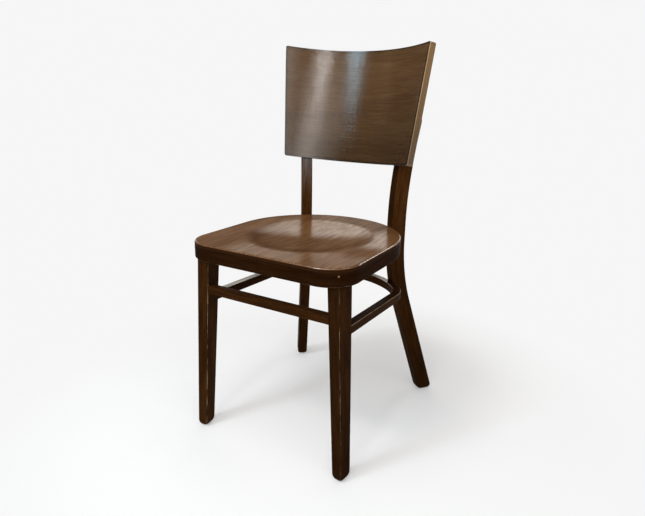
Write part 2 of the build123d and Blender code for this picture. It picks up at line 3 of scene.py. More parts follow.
import bpy
import numpy as np
from mathutils import Matrix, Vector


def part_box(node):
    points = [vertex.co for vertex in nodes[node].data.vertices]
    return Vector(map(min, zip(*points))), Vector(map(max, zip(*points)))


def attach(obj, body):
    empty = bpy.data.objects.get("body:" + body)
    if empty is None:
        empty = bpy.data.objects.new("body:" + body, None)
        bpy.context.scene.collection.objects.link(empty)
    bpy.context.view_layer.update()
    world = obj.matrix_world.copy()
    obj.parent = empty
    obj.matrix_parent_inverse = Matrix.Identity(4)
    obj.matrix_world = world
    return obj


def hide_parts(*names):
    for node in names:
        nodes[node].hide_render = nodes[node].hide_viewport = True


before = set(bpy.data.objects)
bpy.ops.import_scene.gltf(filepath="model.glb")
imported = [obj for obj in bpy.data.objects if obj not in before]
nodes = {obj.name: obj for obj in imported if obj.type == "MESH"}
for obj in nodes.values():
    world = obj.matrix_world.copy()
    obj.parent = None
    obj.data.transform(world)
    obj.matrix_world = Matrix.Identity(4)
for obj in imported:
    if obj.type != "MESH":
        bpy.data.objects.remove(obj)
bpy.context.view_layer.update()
print("frame loaded:", len(nodes), "nodes")

sides = {"left": -1, "right": 1}


# Grids and skins

def softStep(low, high, x):
    # cubic step: 0 below low, 1 above high, 3t^2 - 2t^3 between them
    t = np.clip((x - low) / (high - low), 0, 1)
    return t * t * (3 - 2 * t)


def sectionUnits(arcSteps=6, flat=(0.015, 0.2, 0.5, 0.8, 0.985)):
    # rounded rectangle, counter-clockwise: corner centre c (in -1..1) and outward normal n of each
    # point, which at size s and radius r is c * (s / 2 - r) + n * r; the third array marks the arrises
    corners = np.array([(1, 1), (-1, 1), (-1, -1), (1, -1)], float)
    turn = np.radians(np.linspace(0, 90, arcSteps + 1))
    share = np.array(flat)[:, None]
    centres, normals, marks = [], [], []
    for k in range(4):
        here, there = corners[k], corners[(k + 1) % 4]
        arc = np.stack([np.cos(turn + k * math.pi / 2), np.sin(turn + k * math.pi / 2)], axis=1)
        centres += [np.tile(here, (len(turn), 1)), here + (there - here) * share]
        normals += [arc, np.tile(arc[-1], (len(flat), 1))]
        marks += [np.sin(2 * turn), np.zeros(len(flat))]
    return np.concatenate(centres), np.concatenate(normals), np.concatenate(marks)


def section(units, width, height, radius):
    # points of a rounded rectangle; each size may be one number or one for every ring or point
    width, height, radius = (np.asarray(x, float)[..., None] for x in (width, height, radius))
    centre, normal = units[0], units[1]
    x = centre[:, 0] * (width / 2 - radius) + normal[:, 0] * radius
    y = centre[:, 1] * (height / 2 - radius) + normal[:, 1] * radius
    return x, y


def filletCut(radius, gap):
    # how deep a quarter round cuts at a distance from its edge: r - sqrt(r^2 - (r - gap)^2)
    return radius - np.sqrt(np.clip(radius**2 - np.clip(radius - gap, 0, None) ** 2, 0, None))


def bentPath(stretches):
    # path of straight and round stretches: each point is a centre plus a radius times its normal, and
    # a stretch is (first centre, last centre, radius, first angle, last angle, steps)
    points, normals = [], []
    for start, end, radius, fromDeg, toDeg, steps in stretches:
        t = np.linspace(0, 1, steps, endpoint=False)
        a = np.radians(fromDeg + (toDeg - fromDeg) * t)
        normal = np.stack([np.cos(a), np.sin(a)], axis=1)
        start, end = np.array(start), np.array(end)
        points.append(start + (end - start) * t[:, None] + radius * normal)
        normals.append(normal)
    return np.concatenate(points), np.concatenate(normals)


def runLength(points, closed=False):
    # distance along a path up to each point, and once round at the end of a closed one
    steps = np.linalg.norm(np.diff(points, axis=0, append=points[:1] if closed else points[-1:]), axis=1)
    total = np.concatenate([[0], np.cumsum(steps)])
    return total if closed else total[:-1]


def skin(name, rings, grain, marks, edge=None, polish=None, shadeAndGrime=None, closed=False):
    # closed mesh through rings of points, with flat ends, or with its last ring tied to its first;
    # the maps lie on the face corners, so that nothing smears where a closed skin meets itself
    count, around = rings.shape[:2]
    i = np.arange(count if closed else count - 1)[:, None]
    j = np.arange(around)[None, :]
    k = (j + 1) % around
    row = i * around
    nextRow = (i + 1) % count * around
    nextValue = (i + 1) * around
    quads = np.stack([row + j, row + k, nextRow + k, nextRow + j], axis=-1).reshape(-1, 4)
    values = np.stack([row + j, row + k, nextValue + k, nextValue + j], axis=-1).reshape(-1, 4)
    points = rings.reshape(-1, 3)
    ends = [] if closed else [np.arange(around)[::-1], np.arange(around) + (count - 1) * around]
    triangles = [quads[:, :3], quads[:, [0, 2, 3]]]
    triangles += [np.stack([ring[:-2] * 0 + ring[0], ring[1:-1], ring[2:]], axis=1) for ring in ends]
    a, b, c = np.moveaxis(points[np.concatenate(triangles)], 1, 0)
    if np.einsum("ij,ij->", a, np.cross(b, c)) < 0:  # inside out: every face is read backwards
        quads, values, ends = quads[:, ::-1], values[:, ::-1], [ring[::-1] for ring in ends]
    loopIndex = np.concatenate([quads.ravel(), *ends])
    valueIndex = np.concatenate([values.ravel(), *ends])
    endStart = len(quads) * 4 + np.arange(len(ends)) * around
    loopStart = np.concatenate([np.arange(len(quads)) * 4, endStart])
    mesh = bpy.data.meshes.new(name)
    mesh.vertices.add(len(points))
    mesh.vertices.foreach_set("co", points.astype(np.float32).ravel())
    mesh.loops.add(len(loopIndex))
    mesh.loops.foreach_set("vertex_index", loopIndex.astype(np.int32))
    mesh.polygons.add(len(loopStart))
    mesh.polygons.foreach_set("loop_start", loopStart.astype(np.int32))
    mesh.update(calc_edges=True)
    mesh.polygons.foreach_set("use_smooth", np.ones(len(loopStart), bool))
    maps = {"arris": marks, "sheetEdge": edge, "polish": polish, "shadeAndGrime": shadeAndGrime}
    for layer, data in maps.items():
        data = np.zeros(marks.shape) if data is None else data
        flat = np.ascontiguousarray(data, np.float32).ravel()[valueIndex]
        mesh.attributes.new(layer, "FLOAT", "CORNER").data.foreach_set("value", flat)
    flow = np.ascontiguousarray(grain, np.float32).reshape(-1, 3)[valueIndex]
    mesh.attributes.new("grainMap", "FLOAT_VECTOR", "CORNER").data.foreach_set("vector", flow.ravel())
    mesh.validate()
    piece = bpy.data.objects.new(name, mesh)
    bpy.context.scene.collection.objects.link(piece)
    return piece


def finishPiece(piece, material, slot, *replaced):
    piece.data.materials.append(material)
    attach(piece, "root")
    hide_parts(*replaced)


# Wood finishes

def newGroup(name, inputs, outputs):
    group = bpy.data.node_groups.new(name, "ShaderNodeTree")
    for label, kind, value in inputs:
        socket = group.interface.new_socket(name=label, in_out="INPUT", socket_type=kind)
        if value is not None:
            socket.default_value = value
    for label, kind in outputs:
        group.interface.new_socket(name=label, in_out="OUTPUT", socket_type=kind)
    return group, group.nodes.new("NodeGroupInput"), group.nodes.new("NodeGroupOutput")


def addNode(tree, kind, **settings):
    # a node with its settings; keys that name an input socket take the value there
    node = tree.nodes.new(kind)
    for key, value in settings.items():
        if hasattr(node, key):
            setattr(node, key, value)
        else:
            node.inputs[key].default_value = value
    return node


def mathNode(tree, operation, first, second, third=None, clamp=False):
    # one arithmetic node; each operand is a number or a socket
    node = addNode(tree, "ShaderNodeMath", operation=operation, use_clamp=clamp)
    for socket, operand in zip(node.inputs, (first, second, third)):
        if operand is None:
            continue
        if isinstance(operand, (int, float)):
            socket.default_value = operand
        else:
            tree.links.new(operand, socket)
    return node.outputs[0]


def mixColour(tree, share, first, second, blend="MIX"):
    # blends two colours, each a socket or three numbers, by a share that is a socket or a number
    node = addNode(tree, "ShaderNodeMix", data_type="RGBA", blend_type=blend)
    for socket, value in ((node.inputs[0], share), (node.inputs[6], first), (node.inputs[7], second)):
        if isinstance(value, bpy.types.NodeSocket):
            tree.links.new(value, socket)
        elif isinstance(value, (int, float)):
            socket.default_value = value
        else:
            socket.default_value = (*value, 1)
    return node.outputs[2]


def rangeNode(tree, value, low, high, toLow=0.0, toHigh=1.0):
    node = addNode(tree, "ShaderNodeMapRange", interpolation_type="SMOOTHSTEP")
    tree.links.new(value, node.inputs["Value"])
    for label, number in (("From Min", low), ("From Max", high), ("To Min", toLow), ("To Max", toHigh)):
        node.inputs[label].default_value = number
    return node.outputs["Result"]


def newMaterial(name):
    material = bpy.data.materials.new(name)
    material.use_nodes = True
    return material, material.node_tree


def readMap(tree, label):
    # one of the piece's own maps, as a number
    return addNode(tree, "ShaderNodeAttribute", attribute_name=label).outputs["Fac"]


def stretchedNoise(tree, vector, stretch, detail, rough, distortion=0.0):
    # noise drawn out along the grain: the map's directions are scaled by stretch, in cells per metre
    sized = addNode(tree, "ShaderNodeVectorMath", operation="MULTIPLY")
    sized.inputs[1].default_value = stretch
    tree.links.new(vector, sized.inputs[0])
    noise = addNode(tree, "ShaderNodeTexNoise", Scale=1.0, Detail=detail, Roughness=rough)
    noise.inputs["Distortion"].default_value = distortion
    tree.links.new(sized.outputs[0], noise.inputs["Vector"])
    return noise.outputs["Fac"]


grainCells = {  # cells per metre along, across and through the wood
    "tone": (2.6, 17, 17),
    "bands": (7, 95, 95),
    "streaks": (15, 300, 300),
    "fibres": (60, 1300, 1300),
    "flecks": (210, 1500, 900),
}
figureNames = ("Tone", "Bands", "Streaks", "Fibres", "Flecks", "Height")


def makeGrainGroup():
    # beech figure in five sizes: slow tone, bands, long streaks, fine fibres and short ray flecks
    group, source, sink = newGroup(
        "beechGrain",
        [("Map", "NodeSocketVector", None)],
        [(label, "NodeSocketFloat") for label in figureNames],
    )
    grainMap = source.outputs["Map"]
    tone = stretchedNoise(group, grainMap, grainCells["tone"], 2, 0.5, distortion=0.4)
    bands = stretchedNoise(group, grainMap, grainCells["bands"], 3, 0.55, distortion=0.3)
    streaks = stretchedNoise(group, grainMap, grainCells["streaks"], 4, 0.6)
    fibres = stretchedNoise(group, grainMap, grainCells["fibres"], 2, 0.6)
    flecks = rangeNode(group, stretchedNoise(group, grainMap, grainCells["flecks"], 1, 0.5), 0.62, 0.74)
    relief = mathNode(group, "MULTIPLY_ADD", streaks, 0.75, mathNode(group, "MULTIPLY", fibres, 0.25))
    for label, value in zip(figureNames, (tone, bands, streaks, fibres, flecks, relief)):
        group.links.new(value, sink.inputs[label])
    return group


def makeWearGroup():
    # rubbed arrises: the arris mark, broken up by noise along the edge
    group, source, sink = newGroup(
        "rubbedArris",
        [
            ("Map", "NodeSocketVector", None),
            ("Arris", "NodeSocketFloat", 0.0),
            ("Amount", "NodeSocketFloat", 0.5),
        ],
        [("Wear", "NodeSocketFloat")],
    )
    broken = stretchedNoise(group, source.outputs["Map"], (26, 420, 420), 6, 0.72)
    ragged = mathNode(group, "ADD", broken, mathNode(group, "MULTIPLY", source.outputs["Arris"], 0.5))
    eased = mathNode(group, "MULTIPLY", source.outputs["Amount"], 0.42)
    limit = mathNode(group, "SUBTRACT", 1.12, eased)
    over = mathNode(group, "SUBTRACT", ragged, limit)
    worn = mathNode(group, "MULTIPLY", over, 9.0, clamp=True)
    kept = mathNode(group, "MULTIPLY", worn, rangeNode(group, source.outputs["Arris"], 0.05, 0.4))
    group.links.new(kept, sink.inputs["Wear"])
    return group


def makePlyGroup():
    # plies seen on a cut edge: veneers across the sheet's thickness, alternately long and end grain
    group, source, sink = newGroup(
        "plyLayers",
        [("Map", "NodeSocketVector", None), ("Plies", "NodeSocketFloat", 700.0)],
        [("Layer", "NodeSocketFloat"), ("Glue", "NodeSocketFloat"), ("Face", "NodeSocketFloat")],
    )
    axes = addNode(group, "ShaderNodeSeparateXYZ")
    group.links.new(source.outputs["Map"], axes.inputs[0])
    depth = mathNode(group, "MULTIPLY", axes.outputs["Z"], source.outputs["Plies"])
    wave = mathNode(group, "SINE", mathNode(group, "MULTIPLY", depth, math.pi), 0.0)
    group.links.new(rangeNode(group, wave, -0.5, 0.5), sink.inputs["Layer"])
    seam = mathNode(group, "ABSOLUTE", wave, 0.0)
    group.links.new(rangeNode(group, seam, 0.22, 0.05), sink.inputs["Glue"])
    group.links.new(rangeNode(group, axes.outputs["Z"], 0.0030, 0.0016), sink.inputs["Face"])
    return group


grainGroup = makeGrainGroup()
wearGroup = makeWearGroup()
plyGroup = makePlyGroup()


def stainedWood(name, look):
    # stained beech under satin lacquer; look holds the colours and how strongly each figure shows
    material, tree = newMaterial(name)
    shader = tree.nodes["Principled BSDF"]
    flow = addNode(tree, "ShaderNodeAttribute", attribute_name="grainMap").outputs["Vector"]
    arris = readMap(tree, "arris")
    figure = addNode(tree, "ShaderNodeGroup", node_tree=grainGroup)
    tree.links.new(flow, figure.inputs["Map"])
    wear = addNode(tree, "ShaderNodeGroup", node_tree=wearGroup, Amount=look["wear"])
    tree.links.new(flow, wear.inputs["Map"])
    tree.links.new(arris, wear.inputs["Arris"])
    tone = rangeNode(tree, figure.outputs["Tone"], 0.3, 0.7)
    colour = mixColour(tree, tone, look["dark"], look["light"])
    bands = rangeNode(tree, figure.outputs["Bands"], 0.35, 0.7, 0.0, look["bandShow"])
    colour = mixColour(tree, bands, colour, look["band"])
    streaks = rangeNode(tree, figure.outputs["Streaks"], 0.42, 0.66, 0.0, look["streakShow"])
    colour = mixColour(tree, streaks, colour, look["streak"])
    fibres = rangeNode(tree, figure.outputs["Fibres"], 0.4, 0.7, 0.0, look["fibreShow"])
    colour = mixColour(tree, fibres, colour, look["streak"])
    flecks = mathNode(tree, "MULTIPLY", figure.outputs["Flecks"], look["fleckShow"])
    colour = mixColour(tree, flecks, colour, look["fleck"])
    if "ply" in look:
        edge = readMap(tree, "sheetEdge")
        plies = addNode(tree, "ShaderNodeGroup", node_tree=plyGroup, Plies=look["plies"])
        tree.links.new(flow, plies.inputs["Map"])
        layered = mixColour(tree, plies.outputs["Layer"], look["ply"], look["plyEnd"])
        seams = mathNode(tree, "MULTIPLY", plies.outputs["Glue"], 0.6)
        layered = mixColour(tree, seams, layered, look["glue"])
        layered = mixColour(tree, streaks, layered, look["plyEnd"])
        if "facePly" in look:  # the front veneer's edge, seen as a pale line
            layered = mixColour(tree, plies.outputs["Face"], layered, look["facePly"])
        colour = mixColour(tree, rangeNode(tree, edge, 0.75, 0.95), colour, layered)
    # painted shade and grime: the piece's own map darkens the colour towards a dark colour
    if "shadeAndGrime" in look:
        patchy = rangeNode(tree, figure.outputs["Streaks"], 0.3, 0.7, 0.7, 1.0)
        shadeAndDirt = mathNode(tree, "MULTIPLY", readMap(tree, "shadeAndGrime"), patchy)
        colour = mixColour(tree, shadeAndDirt, colour, look["shadeAndGrime"])
    if "shadeByHeight" in look:  # painted light and shade: colour that turns from one strength to another with height
        low, high, weak, strong = look["shadeByHeight"]
        place = addNode(tree, "ShaderNodeSeparateXYZ")
        tree.links.new(addNode(tree, "ShaderNodeTexCoord").outputs["Object"], place.inputs[0])
        share = rangeNode(tree, place.outputs["Z"], low, high)
        shade = mixColour(tree, share, (weak,) * 3, (strong,) * 3)
        colour = mixColour(tree, 1.0, colour, shade, "MULTIPLY")
    colour = mixColour(tree, mathNode(tree, "MULTIPLY", wear.outputs["Wear"], 0.6), colour, look["bare"])
    tree.links.new(colour, shader.inputs["Base Color"])
    smooth, matt = look["gloss"] - 0.04, look["gloss"] + 0.06
    gloss = rangeNode(tree, figure.outputs["Streaks"], 0.3, 0.7, smooth, matt)
    rough = mathNode(tree, "MULTIPLY_ADD", wear.outputs["Wear"], 0.2, gloss)
    if "shadeAndGrime" in look:  # the grime and the painted shade are duller too
        rough = mathNode(tree, "MULTIPLY_ADD", shadeAndDirt, look.get("dull", 0.4), rough)
    tree.links.new(rough, shader.inputs["Roughness"])
    shader.inputs["Specular IOR Level"].default_value = look["specular"]
    shader.inputs["Coat Weight"].default_value = look["lacquer"]
    if "edgeLacquer" in look:  # bright only where the polish map has it, and on the arrises
        rim = mathNode(tree, "MULTIPLY", arris, look["edgeLacquer"])
        full, thin = 1.25 * look["lacquer"], 0.6 * look["lacquer"]
        broken = rangeNode(tree, figure.outputs["Streaks"], 0.35, 0.65, full, thin)
        polish = mathNode(tree, "MULTIPLY", readMap(tree, "polish"), broken)
        bright = mathNode(tree, "MAXIMUM", polish, rim)
        tree.links.new(bright, shader.inputs["Coat Weight"])
    shader.inputs["Coat Roughness"].default_value = look["lacquerGloss"]
    shader.inputs["Coat IOR"].default_value = look.get("lacquerIor", 1.5)
    relief = addNode(tree, "ShaderNodeBump", Strength=look["relief"], Distance=0.0006)
    tree.links.new(figure.outputs["Height"], relief.inputs["Height"])
    tree.links.new(relief.outputs["Normal"], shader.inputs["Normal"])
    return material


seatVeneer = stainedWood("seatVeneer", {
    "dark": (0.112, 0.047, 0.015), "light": (0.165, 0.075, 0.026), "band": (0.190, 0.092, 0.036),
    # the pale bare colour: wear on the rim's arris and a painted highlight along it
    "streak": (0.066, 0.025, 0.008), "fleck": (0.048, 0.019, 0.006), "bare": (0.42, 0.32, 0.25),
    "ply": (0.032, 0.0125, 0.005), "plyEnd": (0.020, 0.008, 0.003), "glue": (0.012, 0.005, 0.002),
    "plies": 640.0, "shadeAndGrime": (0.030, 0.011, 0.004),
    "bandShow": 0.5, "streakShow": 0.5, "fibreShow": 0.3, "fleckShow": 0.3, "wear": 0.35,
    "gloss": 0.36, "specular": 0.004, "relief": 0.12,
    "lacquer": 0.32, "edgeLacquer": 1.0, "lacquerGloss": 0.2, "lacquerIor": 1.9,
})
backVeneer = stainedWood("backVeneer", {
    "dark": (0.080, 0.040, 0.016), "light": (0.112, 0.060, 0.026), "band": (0.128, 0.070, 0.032),
    "streak": (0.046, 0.022, 0.009), "fleck": (0.040, 0.019, 0.008), "bare": (0.34, 0.22, 0.12),
    "ply": (0.280, 0.170, 0.080), "plyEnd": (0.185, 0.104, 0.046), "glue": (0.075, 0.040, 0.018),
    "plies": 600.0, "facePly": (0.40, 0.28, 0.16), "shadeAndGrime": (0.016, 0.008, 0.004),
    "bandShow": 0.45, "streakShow": 0.45, "fibreShow": 0.35, "fleckShow": 0.35, "wear": 0.5,
    "gloss": 0.115, "specular": 0.65, "lacquer": 0.0, "lacquerGloss": 0.22, "relief": 0.65, "dull": 0.0,
    # painted shade: the panel darker towards its bottom
    "shadeByHeight": (0.60, 0.80, 0.62, 1.0),  # heights from and to, strength below and above
})
frameLook = {
    "dark": (0.022, 0.0075, 0.0018), "light": (0.040, 0.0145, 0.0034), "band": (0.058, 0.023, 0.006),
    "streak": (0.010, 0.0034, 0.0009), "fleck": (0.075, 0.036, 0.014), "bare": (0.42, 0.31, 0.21),
    "bandShow": 0.5, "streakShow": 0.6, "fibreShow": 0.35, "fleckShow": 0.35, "wear": 0.5,
    "gloss": 0.42, "specular": 0.006, "lacquer": 0.0, "lacquerGloss": 0.28, "relief": 0.16,
}
frameBeech = stainedWood("frameBeech", frameLook)
shoeBeech = stainedWood("shoeBeech", {
    **frameLook, "lacquer": 0.6, "edgeLacquer": 0.0, "lacquerGloss": 0.16,
})
legBeech = stainedWood("legBeech", {**frameLook, "shadeAndGrime": (0.008, 0.003, 0.001)})
postBeech = stainedWood("postBeech", {
    # painted light and shade: the rear legs darker towards the foot, lighter up the post
    **frameLook, "shadeByHeight": (0.05, 0.62, 0.68, 1.8), "shadeAndGrime": (0.008, 0.003, 0.001),
    "lacquer": 0.6, "edgeLacquer": 0.0, "lacquerIor": 1.9,
})
ringBeech = stainedWood("ringBeech", {
    **frameLook, "dark": (0.012, 0.0040, 0.0012), "light": (0.021, 0.0076, 0.0022),
    "band": (0.030, 0.012, 0.004), "streak": (0.006, 0.002, 0.0006), "fleck": (0.035, 0.016, 0.006),
    "wear": 0.3, "specular": 0.003,
})
print("wood finishes made")


# Seat panel and ring

seat = {
    "depth": 0.413, "cornerRadius": 0.065, "rimRadius": 0.004,
    "hollowWidth": 0.284, "hollowLength": 0.290, "hollowDepth": 0.008, "hollowSetback": 0.198,
    "hollowBlend": 0.0010,  # how softly the hollow runs out into the flat rim
    "ringWidth": 0.040, "ringEdge": 0.005, "ringTopEdge": 0.0006,
}
panelLow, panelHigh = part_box("seat_panel")
ringLow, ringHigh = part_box("seat_ring")
halfSeat = (ringHigh.x - ringLow.x) / 2
frontY = ringLow.y
axisY = frontY + seat["depth"] - halfSeat  # middle of the half-round back
rimZ, ringTopZ, ringBottomZ = panelHigh.z, ringHigh.z, ringLow.z


def seatOutline():
    # half circle behind, straight sides, round corners in front, counter-clockwise from the right
    r = seat["cornerRadius"]
    x, y = halfSeat - r, frontY + r
    return bentPath([
        ((x, y), (x, axisY), r, 0, 0, 40),
        ((0, axisY), (0, axisY), halfSeat, 0, 180, 120),
        ((-x, axisY), (-x, y), r, 180, 180, 40),
        ((-x, y), (-x, y), r, 180, 270, 36),
        ((-x, y), (x, y), r, 270, 270, 60),
        ((x, y), (x, y), r, 270, 360, 36),
    ])


def hollowDepthAt(x, y):
    # barrel-shaped hollow: an arc front to back, swung about a long axis, softened at its outline
    deep = seat["hollowDepth"]
    arcY = (seat["hollowLength"] / 2) ** 2 / (2 * deep) + deep / 2
    arcX = (seat["hollowWidth"] / 2) ** 2 / (2 * deep) + deep / 2
    rise = arcY - np.sqrt(arcY**2 - (y - frontY - seat["hollowSetback"]) ** 2)
    depth = deep - arcX + np.sqrt((arcX - rise) ** 2 - x**2)
    return (depth + np.sqrt(depth**2 + seat["hollowBlend"] ** 2)) / 2


def hollowPlace(x, y):
    # place front to back in the hollow, and reach from its middle; both are 1 at its outline
    along = (y - frontY - seat["hollowSetback"]) / (seat["hollowLength"] / 2)
    return along, np.hypot(x / (seat["hollowWidth"] / 2), along)


def seatPolish(x, y):
    # lacquer worn dull by sitters in the front half of the hollow, still bright behind and at the rim
    flat = softStep(0.96, 1.04, hollowPlace(x, y)[1])
    behind = softStep(-0.07, 0.01, y - 0.38 * x) * (1 - 0.75 * flat)
    behind *= softStep(-0.145, -0.10, x) * (1 - 0.5 * softStep(0.07, 0.13, x))
    beside = softStep(0.09, 0.14, x) * softStep(-0.10, -0.04, y) * softStep(0.12, 0.04, y)
    ahead = softStep(-0.10, -0.05, x) * softStep(-0.12, -0.18, y)
    return np.maximum(behind, flat * np.maximum(0.95 * beside, 0.4 * ahead))


def seatShadeAndGrime(x, y):
    # darker along the front of the hollow, in its middle, and along the rim behind; the band just inside
    # the hollow's front edge is painted shade of its slope
    along, reach = hollowPlace(x, y)
    border = np.exp(-((reach - 0.86) / 0.10) ** 2)
    frontDark = softStep(0.5, -0.4, along) * (0.22 * softStep(1.05, 0.85, reach) + 0.30 * border)
    fromRim = halfSeat - np.where(y > axisY, np.hypot(x, y - axisY), np.abs(x))
    rim = 0.45 * softStep(0.022, 0.004, fromRim) * softStep(0.06, -0.04, x) * softStep(-0.14, -0.06, y)
    behind = 0.22 * softStep(0.95, 1.05, reach) * softStep(0.03, 0.08, y)
    return np.maximum(np.maximum(frontDark, rim), behind)


def makeSeatPanel():
    # rings from the middle of the underside, round the rim, to the middle of the top
    outline, normal = seatOutline()
    r = seat["rimRadius"]
    middle = np.array([0, frontY + seat["hollowSetback"]])
    shares = np.concatenate([np.linspace(0.02, 0.9, 30), [0.95, 0.985, 0.998]])
    under = middle + (outline - middle) * shares[:, None, None]
    underZ = ringTopZ - hollowDepthAt(under[..., 0], under[..., 1])
    underZ[-8:] = ringTopZ  # the rows that lie on the ring
    turn = np.radians(np.linspace(0, 90, 9))[:, None, None]
    rim = outline - normal * r * (1 - np.cos(turn))
    rimHeights = rimZ - r + r * np.sin(turn[..., 0]) + np.zeros(len(outline))
    side = np.stack([outline, outline, outline])
    sideZ = np.array([ringTopZ, ringTopZ + 0.0004, rimZ - r - 0.0004])[:, None] + np.zeros(len(outline))
    topShares = np.concatenate([[0.997, 0.985, 0.97, 0.95], np.linspace(0.92, 0.02, 44)])
    inner = outline - normal * r
    top = middle + (inner - middle) * topShares[:, None, None]
    topZ = rimZ - hollowDepthAt(top[..., 0], top[..., 1])
    rimHeights -= hollowDepthAt(rim[..., 0], rim[..., 1]) * softStep(0, 1, np.sin(turn[..., 0]))
    flat = np.concatenate([under, side, rim, top])
    heights = np.concatenate([underZ, sideZ, rimHeights, topZ])
    rings = np.concatenate([flat, heights[..., None]], axis=-1)
    grain = np.stack([rings[..., 1], rings[..., 0], rings[..., 2] - ringTopZ], axis=-1)
    marks = np.zeros(heights.shape)
    rimStart = len(under) + len(side)
    lift = np.sin(turn[..., 0])
    # the rim's arris: lacquered, and its pale worn colour is partly wear and partly a painted highlight
    marks[rimStart:rimStart + len(rim)] = softStep(0.45, 0.7, lift) * softStep(1.0, 0.9, lift)
    edge = np.zeros(heights.shape)
    edge[len(under):rimStart + 3] = 1
    polish = seatPolish(rings[..., 0], rings[..., 1])
    polish[:rimStart + len(rim) - 1] = 0  # only the top is polished
    # painted shade inside the hollow's front edge, and darker places along the rim
    shadeAndGrime = seatShadeAndGrime(rings[..., 0], rings[..., 1])
    return skin("seatPanel", rings, grain, marks, edge, polish, shadeAndGrime)


def makeSeatRing():
    # rectangle carried round the seat's outline, well rounded below
    outline, normal = seatOutline()
    units = sectionUnits(8)
    width, height = seat["ringWidth"], ringTopZ - ringBottomZ
    high = (1 + units[0][:, 1]) / 2
    radius = seat["ringEdge"] + (seat["ringTopEdge"] - seat["ringEdge"]) * high
    x = units[0][:, 0] * (width / 2 - radius) + units[1][:, 0] * radius
    z = units[0][:, 1] * (height / 2 - radius) + units[1][:, 1] * radius
    flat = outline[:, None] - normal[:, None] * (width / 2 - x)[None, :, None]
    heights = np.tile(ringBottomZ + height / 2 + z, (len(outline), 1))
    rings = np.concatenate([flat, heights[..., None]], axis=-1)
    along = runLength(outline, closed=True)[:, None] + np.zeros(len(x))
    grain = np.stack([along + 4.7, z + np.zeros(along.shape), x + np.zeros(along.shape)], axis=-1)
    marks = np.tile(units[2] * (units[0][:, 1] < 0), (len(along), 1))
    return skin("seatRing", rings, grain, marks, closed=True)


finishPiece(makeSeatPanel(), seatVeneer, "seat_wood", "seat_panel")
finishPiece(makeSeatRing(), ringBeech, "frame_wood", "seat_ring")
print("seat made")


# Front legs

def footRows(leg):
    # heights above the sole, close together over its rounding: tip * (1 - cos)
    tip = leg["tipHeight"]
    turn = np.radians(np.linspace(0, 90, 9))
    return np.concatenate([[0], tip * (1 - np.cos(turn)), [tip + 0.0005, tip + 0.002]])


def footInset(leg, height):
    # elliptic rounding towards the sole: inset * (1 - sqrt(1 - (1 - height / tip)^2))
    left = np.clip(1 - height / leg["tipHeight"], 0, 1)
    return leg["tipInset"] * (1 - np.sqrt(1 - left**2))


def footArris(leg, height):
    # arrises that grow rounder towards the sole
    return leg["arris"] + leg["soleArris"] * softStep(0.014, 0, height)


frontLeg = {
    "footInset": 0.0125, "footSetback": 0.038, "topInset": 0.0325, "topSetback": 0.046,
    "footSize": (0.0235, 0.0315), "topSize": (0.028, 0.043), "turn": 7.0, "floorGap": 0.002,
    "tipHeight": 0.009, "tipInset": 0.0044, "arris": 0.002, "soleArris": 0.004, "border": 0.0006,
    # how worn each arris is, from the rear right one round
    "worn": {"left": (0.55, 0.55, 0.8, 1.0), "right": (0.55, 0.55, 0.8, 0.86)},
}


def makeFrontLeg(side, sign):
    # tapered rounded rectangle carried up a leaning line, rounded over at the foot
    units = sectionUnits(6)
    low = frontLeg["floorGap"]
    rows = np.concatenate([footRows(frontLeg), np.linspace(0.02, ringBottomZ - low, 40)])
    heights = low + rows
    inset = footInset(frontLeg, rows)
    inset[0] += frontLeg["border"]  # a narrow flat border inside the sole
    share = rows / (ringBottomZ - low)
    width, depth = (
        foot + (top - foot) * share - 2 * inset
        for foot, top in zip(frontLeg["footSize"], frontLeg["topSize"])
    )
    x, y = section(units, width, depth, footArris(frontLeg, rows))
    turn = -sign * math.radians(frontLeg["turn"])
    inwards, backwards = (
        frontLeg["foot" + way] + (frontLeg["top" + way] - frontLeg["foot" + way]) * share
        for way in ("Inset", "Setback")
    )
    middleX, middleY = halfSeat - inwards, frontY + backwards
    rings = np.stack([
        x * math.cos(turn) - y * math.sin(turn) + sign * middleX[:, None],
        x * math.sin(turn) + y * math.cos(turn) + middleY[:, None],
        heights[:, None] + np.zeros(x.shape),
    ], axis=-1)
    grain = np.stack([rings[..., 2] + 2.3 * sign, x, y], axis=-1)
    corner = np.repeat(frontLeg["worn"][side], len(units[2]) // 4)
    marks = np.tile(units[2] * corner, (len(heights), 1))
    # painted shade on the right leg: its front face darker, and the whole leg darker towards its foot
    ahead = np.tile(0.4 * (units[1][:, 1] < -0.5), (len(heights), 1))
    shadeAndGrime = (sign > 0) * np.maximum(ahead, 0.6 * softStep(0.26, 0.03, rings[..., 2]))
    return skin(f"frontLeg_{side}", rings, grain, marks, shadeAndGrime=shadeAndGrime)


for side, sign in sides.items():
    finishPiece(makeFrontLeg(side, sign), legBeech, "frame_wood", f"front_leg_{side}")
print("front legs made")


# Rear legs, each running up into a post

rearLeg = {
    "turn": 37.0, "thickness": 0.026, "depth": 0.037, "letIn": 0.001, "floorGap": 0.002,
    "rake": 18.1, "kneeHeight": 0.332, "kneeRadius": 0.533,
    "lean": 10.6952, "bendHeight": 0.55482, "bendRadius": 0.988, "topHeight": 0.73616, "topRound": 0.034,
    "tipHeight": 0.010, "tipInset": 0.006, "arris": 0.002, "soleArris": 0.004, "border": 0.0006,
    "postArris": 0.003,  # added to the arris behind the backrest
}
turnSin, turnCos = math.sin(math.radians(rearLeg["turn"])), math.cos(math.radians(rearLeg["turn"]))


